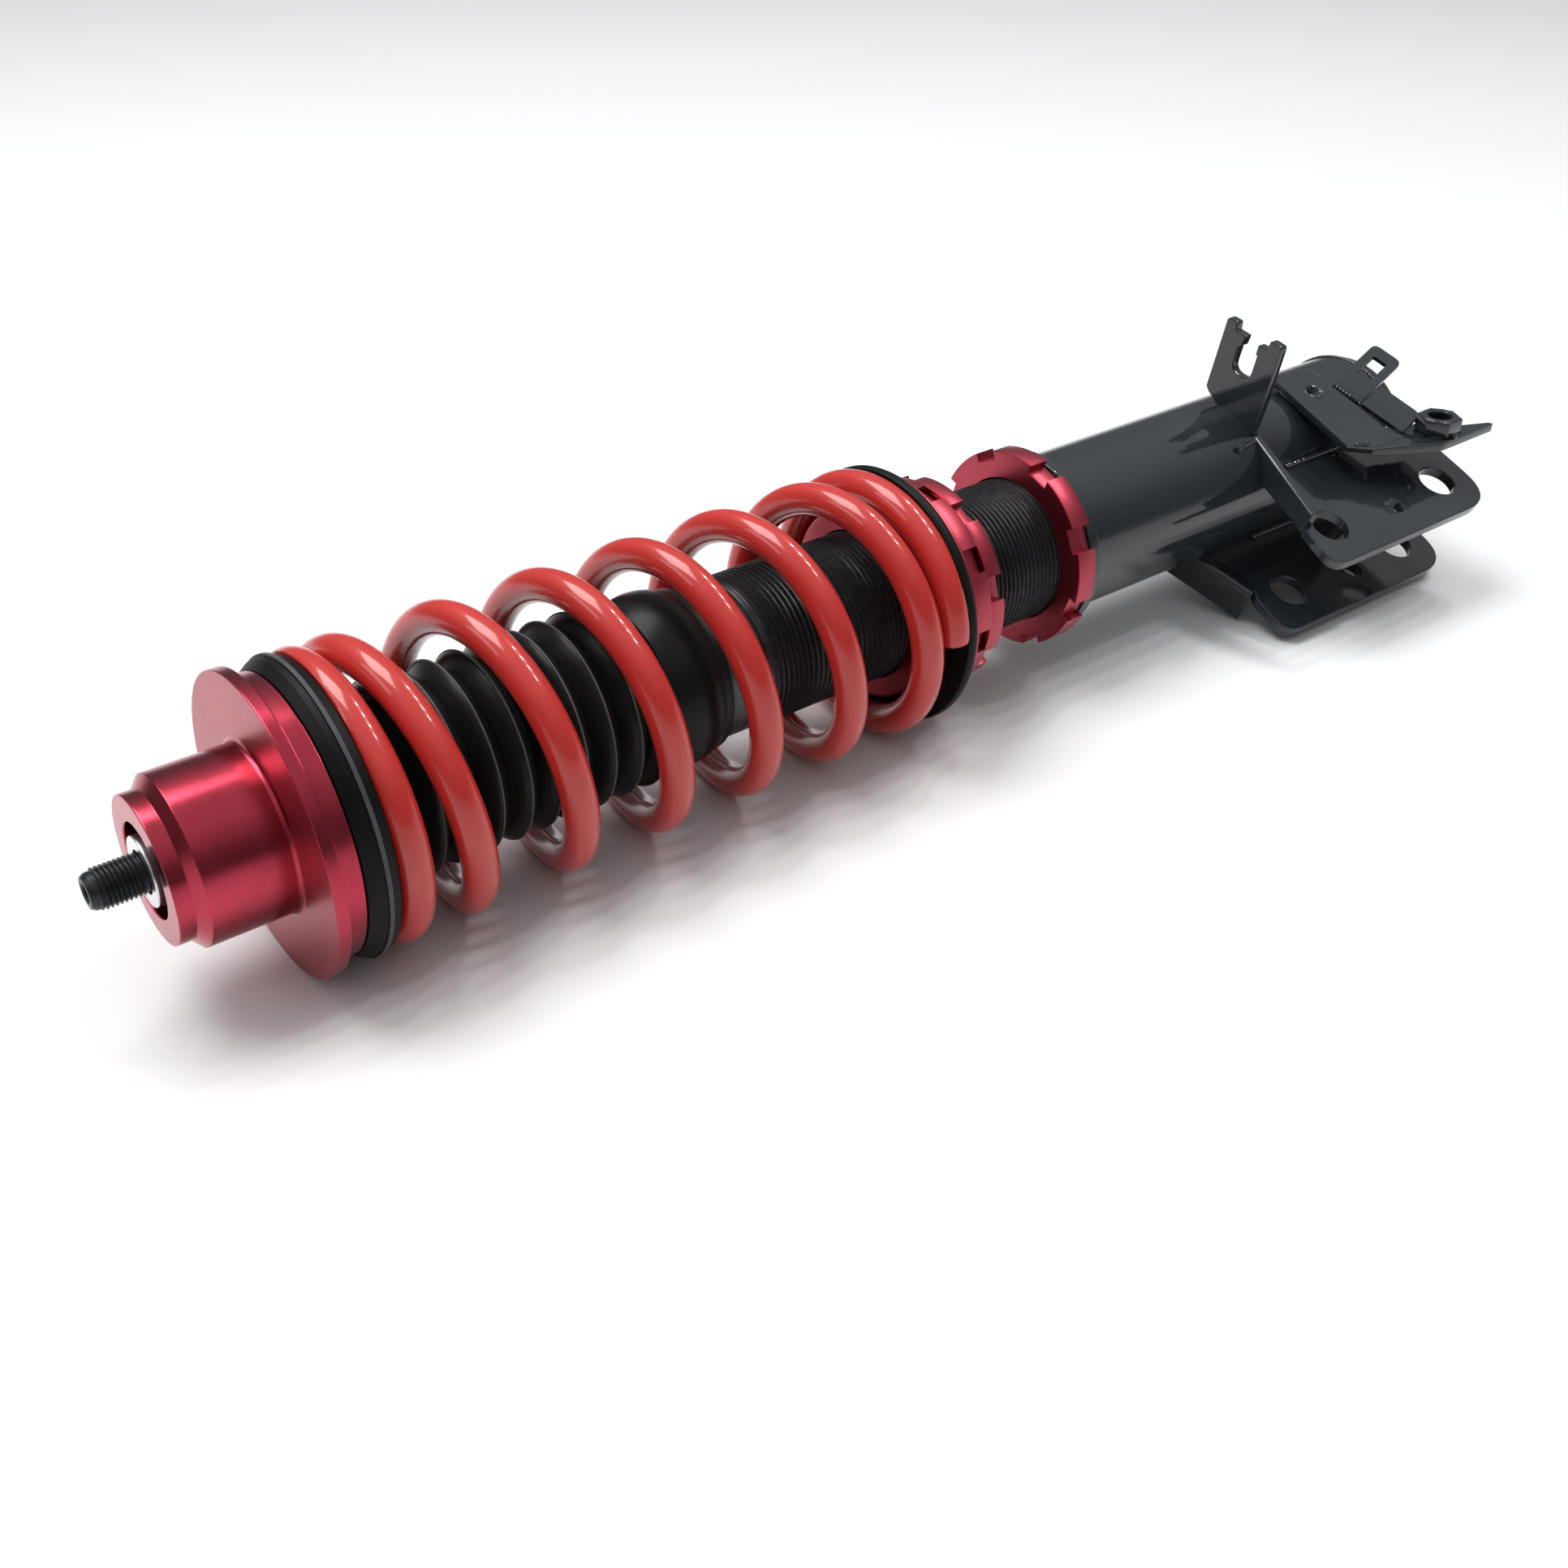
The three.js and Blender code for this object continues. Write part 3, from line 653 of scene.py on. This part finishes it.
def build_rings():
    bore = BODY_THREAD_RADIUS + 0.3
    pad = turned([
        (222.8, 33.2, 0), (222.8, 44.2, 0.4), (224, 44.7, 0.5), (225.2, 44.7, 0.6),
        (226.8, 43.8, 0.5), (226.8, 33.2, 0),
    ], 160)
    show("lower_isolator_pad", "spring_seat", [(pad, STRUT, RUBBER)], ["lower_isolator"])
    seat = turned([
        (212.5, bore, 0.4), (212.5, 32.9, 1.2), (227.1, 32.9, 0.2), (227.1, 42.5, 0.3),
        (228.7, 42.5, 0.3), (231.6, 37.6, 0.4), (232.6, 33.8, 0.3), (239.4, 33.8, 0.2),
        (239.4, bore, 0.4),
    ], 160)
    teeth = notched_ring(37, 30, 10, 231.4, 239.6)
    show("spring_perch_turned", "perch", [(seat, STRUT, RED_SATIN), (teeth, FACE_ON, RED_SATIN)],
         ["spring_perch"])
    lock = notched_ring(35.8, bore, 28, 240.4, 246.6)
    show("perch_lock_ring_milled", "perch_lock", [(lock, FACE_ON, RED_SATIN)],
         ["perch_lock_ring"])
    low_lock = notched_ring(35.4, bore, 20, 282.3, 290.3)
    show("body_lock_ring_milled", "body_lock", [(low_lock, FACE_ON, RED_SATIN)],
         ["body_lock_ring"])


# ---- Bracket tube ----
def build_tube():
    bore = BODY_THREAD_RADIUS + 0.3
    insert = turned([
        (290.7, bore, 0.3), (290.7, 33, 0.7), (294.7, 33, 0.7), (297, 30, 0.4), (297, bore, 0),
    ], 160)
    show("thread_insert_collar", "lower_bracket", [(insert, STRUT, GLOSS)],
         ["thread_insert"])
    tube = turned([
        (TUBE_START, 26, 0.3), (TUBE_START, TUBE_RADIUS, 0.6), (TUBE_END, TUBE_RADIUS, 0.2),
        (TUBE_END, 26, 0.2),
    ], 192)
    show("bracket_tube_painted", "lower_bracket", [(tube, STRUT, GLOSS)],
         ["bracket_tube"])
    dome_start, dome_end = TUBE_END + 0.3, 478
    dome = []
    for k in range(17):
        angle = k / 16 * math.pi / 2
        station = dome_start + (dome_end - dome_start) * math.sin(angle)
        dome.append((station, TUBE_RADIUS - 9 * (1 - math.cos(angle))))
    dome += [(dome_end, 0), (dome_end - 4, 0), (dome_end - 4, 17), (dome_start, 24.8)]
    ring = [Vector((TUBE_END + 0.1, TUBE_RADIUS * math.cos(a), TUBE_RADIUS * math.sin(a)))
            for a in (2 * math.pi * k / 120 for k in range(121))]
    show("tube_end_cap_pressed", "lower_bracket",
         [(lathe(dome, 160), STRUT, GLOSS), (weld_bead(ring, 0.8, 1.6), STRUT, GLOSS)],
         ["tube_end_cap"], 35)


# ---- Knuckle ears ----
def flange_strip(start, end, low, high, rise, side):
    """An ear's flange from start to end on a rounded foot; rise is its extra height at start."""
    start, end = Vector((*start, 0)), Vector((*end, 0))
    run = end - start
    foot = [(0, side * low, 3.2), (FLANGE_THICK + 1.6, side * low, 0),
            (FLANGE_THICK, side * (low + EAR_THICK), 0.8), (FLANGE_THICK, side * high, 0.6),
            (0, side * high, 0.6)]
    flat = plate(foot, [], 0, run.length, 0.35, 6)
    for vert in flat.vertices:
        if side * vert.co.y > low + EAR_THICK:
            vert.co.y += side * rise * (1 - vert.co.z / run.length)
    along = run.normalized()
    across = Vector((-along.y, along.x, 0))
    columns = (across, Vector((0, 0, 1)), -along)
    turn = Matrix([[c[i] for c in columns] + [end[i]] for i in range(3)] + [[0, 0, 0, 1]])
    for vert in flat.vertices:
        vert.co.z = run.length - vert.co.z
    flat.flip_normals()
    return flat, turn


def ear_parts(side, outline, flange_start, flange_end, flange_top, rise):
    holes = [round_hole(x, BOLT_Y, BOLT_HOLE) for x in BOLT_STATIONS]
    holes.append(round_hole(427.8, -55.7, 3.6, 32))
    low, high = sorted((side * (EAR_TOP - EAR_THICK), side * EAR_TOP))
    sheet = plate(outline, holes, low, high, 0.5)
    strip, turn = flange_strip(flange_start, flange_end, EAR_TOP - EAR_THICK, flange_top,
                               rise, side)
    strip.transform(turn)
    parts = [(outside_tube(sheet), BRACKET, GLOSS), (outside_tube(strip), BRACKET, GLOSS)]
    for height in (EAR_TOP, EAR_TOP - EAR_THICK):
        out = math.sqrt(TUBE_RADIUS**2 - height**2) + 0.6
        z = side * (height + (0.5 if height == EAR_TOP else -0.5))
        parts.append((weld_bead([(399, -out, z), (462, -out, z)], 0.9, 1.7), BRACKET, GLOSS))
    return parts


def build_ears():
    far = [(475.2, -EAR_REACH, 18), (475.2, -34, 5), (468, -20, 0)]
    upper = [(391.5, -20, 0), (384.4, -46, 0), (380.9, -50.5, 2), (377.2, -EAR_REACH, 16)] + far
    lower = [(371.5, -22, 0), (378.6, -46.5, 0), (375.4, -51, 2), (373.6, -EAR_REACH, 16)] + far
    upper_parts = ear_parts(1, upper, (389.6, -7), (381.2, -49.5), 25.2, 2.2)
    tack = weld_bead([(377, -12.4, 26.6), (382, -11.6, 26.9), (387.4, -11, 27.2)], 1.5, 1.3)
    upper_parts.append((tack, BRACKET, GLOSS))
    show("ear_upper_pressed", "lower_bracket", upper_parts, ["ear_upper"], 20)
    lower_parts = ear_parts(-1, lower, (366.0, -16.5), (375.4, -48.5), 28.8, 0)
    show("ear_lower_pressed", "lower_bracket", lower_parts, ["ear_lower"], 20)


# ---- Sensor bracket ----
# Where the cable tab and the sensor arm's upstand lie, sloping away from the sensor plate.
SHEET_SLOPE = (BRACKET @ Matrix.Translation((440.6, -9.1, SEAT + 3.1))
               @ Matrix.Rotation(math.radians(11), 4, "Z")
               @ Matrix.Rotation(math.radians(-20), 4, "Y"))


def build_sensor_bracket():
    top = SEAT + 3.4
    dimple_x, dimple_y = 427.5, -3.2
    outline = [(416, 9.4, 1), (416, -31.9, 2.5), (427.4, -37.5, 1.2), (446, -37.5, 1.2),
               (441.2, -31, 1), (437.8, 9.4, 8)]
    base = plate(outline, [round_hole(dimple_x, dimple_y, 3.1, 40)], top - 3, top, 0.5)
    dimple = turned([
        (-2.6, 0, 0), (-2.4, 1.4, 0.4), (0, 3.1, 0.6), (0.25, 3.9, 0.3), (-0.4, 4.3, 0.2),
        (-2.9, 3.2, 0.3), (-2.9, 0, 0),
    ], 48)
    upright = Matrix.Rotation(math.radians(-90), 4, "Y")
    stand = BRACKET @ Matrix.Translation((dimple_x, dimple_y, top)) @ upright
    tack = weld_bead([(419.6, -33, top + 0.1), (423, -33.6, top + 0.2), (426, -34.2, top + 0.1)],
                     0.9, 1.1)
    show("sensor_plate_pressed", "lower_bracket",
         [(base, BRACKET, GLOSS), (dimple, stand, GLOSS), (tack, BRACKET, GLOSS)],
         ["sensor_plate"], 25)

    half, length = 6.6, 27.4
    slot = softened([(11, 3.3, 0.6), (22.6, 3.3, 0.6), (22.6, -3.3, 0.6), (11, -3.3, 0.6)], 4)
    tab = plate([(0, half, 0.4), (0, -half, 0.4), (length, -half, 3), (length, half, 3)],
                [slot], -2, 0, 0.3)
    bead = weld_bead([(0.2, half - 0.5, 0.3), (0.2, -half + 0.5, 0.3)], 1.3, 1.5)
    rib = weld_bead([(0.4, -half + 0.6, 0.2), (-1.6, -half - 1.2, -1.8), (-3.6, -half - 3.4, -3.2)],
                    0.9, 1.6)
    show("cable_tab_pressed", "lower_bracket",
         [(tab, SHEET_SLOPE, GLOSS), (bead, SHEET_SLOPE, GLOSS), (rib, SHEET_SLOPE, GLOSS)],
         ["cable_tab"], 25)

    arm_top, nut_x, nut_y = 16.4, 459.5, -50.6
    arm = [(426, -45.6, 0.3), (434.4, -50.4, 6), (452.3, -59.2, 6), (484.2, -59.2, 0.8),
           (483.2, -57.2, 0.8), (472.7, -52.4, 3), (466, -41.5, 2), (446, -38.2, 1),
           (441.8, -45.6, 0.3)]
    arm_sheet = plate(arm, [round_hole(nut_x, nut_y, 4.9)], arm_top - 3.4, arm_top, 0.4)
    upstand = plate([(0.6, -7.3, 0.5), (12.6, -7.3, 2), (12.6, -26.6, 3), (0.6, -26.6, 1)],
                    [], -2, 0, 0.3)
    foot = arm_top + 0.3
    bead = weld_bead([
        (466.4, -46, foot), (468.6, -50.6, foot), (465.4, -56.4, foot), (458, -59, foot),
    ], 1.0, 1.2)
    show("sensor_arm_pressed", "lower_bracket",
         [(arm_sheet, STRUT, GLOSS), (upstand, SHEET_SLOPE, GLOSS), (bead, STRUT, GLOSS)],
         ["sensor_arm"], 25)

    hexagon = [(nut_x + 8.5 * math.cos(a), nut_y + 8.5 * math.sin(a), 0.5)
               for a in (math.pi / 3 * k for k in range(6))]
    nut = plate(hexagon, [round_hole(nut_x, nut_y, 4.5)], arm_top + 0.3, arm_top + 6.4, 0.5)
    bore = STRUT @ Matrix.Translation((nut_x, nut_y, arm_top)) @ upright
    thread = turned([(0.5, 4.9, 0), (0.5, 4.25, 0.1), (6.1, 4.25, 0.1), (6.1, 4.9, 0)], 48)
    crown = turned([(6.2, 4.6, 0), (6.2, 7.2, 0.1), (6.6, 6.8, 0.2), (6.6, 4.8, 0.2)], 64)
    show("sensor_nut_welded", "lower_bracket",
         [(nut, STRUT, GLOSS), (thread, bore, OXIDE), (crown, bore, GLOSS)],
         ["sensor_nut"], 25)


# ---- Brake hose fork ----
def build_fork():
    lean, front, thick = math.radians(11), 388, 3.5
    corners = [
        (-12.2, 32.8, 1.2), (-12, 61.5, 1.6), (-7.2, 61.6, 1.2), (-6.7, 58.4, 0.3),
        (-1.9, 58.4, 0.4), (-2.3, 54.6, 0.4), (-3.7, 53.2, 0.5), (-3.8, 43.6, 4.6),
        (5.1, 43.6, 4.6), (5.1, 53.9, 0.4), (4.3, 54.4, 0.3), (4.3, 58, 0.4), (8.3, 58.3, 0.3),
        (8.7, 61.9, 1.0), (14.2, 61.9, 1.6), (14.5, 25, 0.5), (5, 27, 0.3), (-3, 27.5, 0.5),
        (-10.5, 31.2, 0.6),
    ]
    # The profile's x runs towards -y and its y runs up; its thickness runs along +x.
    stand = (STRUT @ Matrix.Translation((front, 0, 0)) @ Matrix.Rotation(lean, 4, "X")
             @ Matrix(((0, 0, 1, 0), (-1, 0, 0, 0), (0, 1, 0, 0), (0, 0, 0, 1))))
    fork = plate(corners, [], 0, thick, 0.4, 8)
    root = TUBE_RADIUS + 0.5
    foot = []
    for degrees in range(-8, 34, 3):
        angle = math.radians(90 + degrees) + lean * 0.2
        foot.append((front + thick + 0.4, root * math.cos(angle), root * math.sin(angle)))
    seam = weld_bead(foot, 1.0, 1.5)
    show("hose_fork_pressed", "lower_bracket", [(fork, stand, GLOSS), (seam, STRUT, GLOSS)],
         ["hose_fork"], 25)


# ---- CAD nodes that stay in view or inside ----
def finish_inner_nodes():
    looks = {
        "seat_bush": BRONZE, "boot_retainer": PLASTIC, "wiper_seal": RUBBER, "oil_seal": RUBBER,
        "rod_guide": STEEL, "guide_bush": BRONZE, "guide_o_ring": RUBBER, "inner_tube": STEEL,
        "base_valve": STEEL, "rebound_stop": RUBBER, "rebound_shims": STEEL, "piston": STEEL,
        "piston_band": BRONZE, "compression_shims": STEEL, "piston_nut": ZINC,
    }
    for node, material in looks.items():
        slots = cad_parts[node].material_slots
        for slot in slots:
            slot.material = material


# ---- Stage: floor, light, camera ----
def build_stage():
    reach = 6
    corners = [(-reach, -reach, 0), (reach, -reach, 0), (reach, reach, 0), (-reach, reach, 0)]
    mesh = bpy.data.meshes.new("floor")
    mesh.from_pydata(corners, [], [(0, 1, 2, 3)])
    mesh.materials.append(floor_paper())
    floor = bpy.data.objects.new("floor", mesh)
    bpy.context.scene.collection.objects.link(floor)

    scene = bpy.context.scene
    scene.view_settings.view_transform = "Standard"
    scene.world = bpy.data.worlds.new("studio")
    scene.world.use_nodes = True
    tree = scene.world.node_tree
    background = tree.nodes["Background"]
    background.inputs["Strength"].default_value = 1.0
    place = tree.nodes.new("ShaderNodeTexCoord")
    parts = tree.nodes.new("ShaderNodeSeparateXYZ")
    tree.links.new(place.outputs["Generated"], parts.inputs[0])
    ramp = tree.nodes.new("ShaderNodeValToRGB")
    sky = [(0.0, 0.30), (0.10, 0.14), (0.42, 0.25), (0.85, 0.72)]
    greys = [(height, (level, level * 1.01, level * 1.02)) for height, level in sky]
    fill_ramp(ramp.color_ramp, greys)
    tree.links.new(parts.outputs["Z"], ramp.inputs["Fac"])
    tree.links.new(ramp.outputs["Color"], background.inputs["Color"])

    def lamp(name, place, aim, width, height, power):
        data = bpy.data.lights.new(name, "AREA")
        data.shape = "RECTANGLE"
        data.size, data.size_y = width, height
        data.energy = power
        holder = bpy.data.objects.new(name, data)
        holder.location = place
        holder.rotation_euler = (Vector(aim) - Vector(place)).to_track_quat("-Z", "Y").to_euler()
        scene.collection.objects.link(holder)

    lamp("overhead", (-0.45, 0.75, 1.85), (0, 0, 0), 1.3, 1.1, 32)
    lamp("side", (-1.5, 0.6, 1.2), (-0.1, 0, 0.05), 0.9, 0.5, 3)
    for k in range(4):
        lamp(f"panel_{k}", (1.05, -0.55 + 0.3 * k, 1.65), (0, 0, 0.05), 0.10, 0.20, 3.5)


def build_camera():
    data = bpy.data.cameras.new("camera")
    data.lens, data.sensor_width = 40.0, 36.0
    data.clip_start = 0.01
    camera = bpy.data.objects.new("camera", data)
    camera.location = STRUT @ Vector((-125.95, -397.57, 276.31))
    azimuth, down = math.radians(37.70), math.radians(33.78)
    level = math.cos(down)
    look = Vector((math.sin(azimuth) * level, math.cos(azimuth) * level, -math.sin(down)))
    camera.rotation_euler = look.to_track_quat("-Z", "Y").to_euler()
    bpy.context.scene.collection.objects.link(camera)
    bpy.context.scene.camera = camera


build_camera()
build_stage()
build_top()
build_boot()
build_spring()
build_body()
build_rings()
build_tube()
build_ears()
build_sensor_bracket()
build_fork()
finish_inner_nodes()
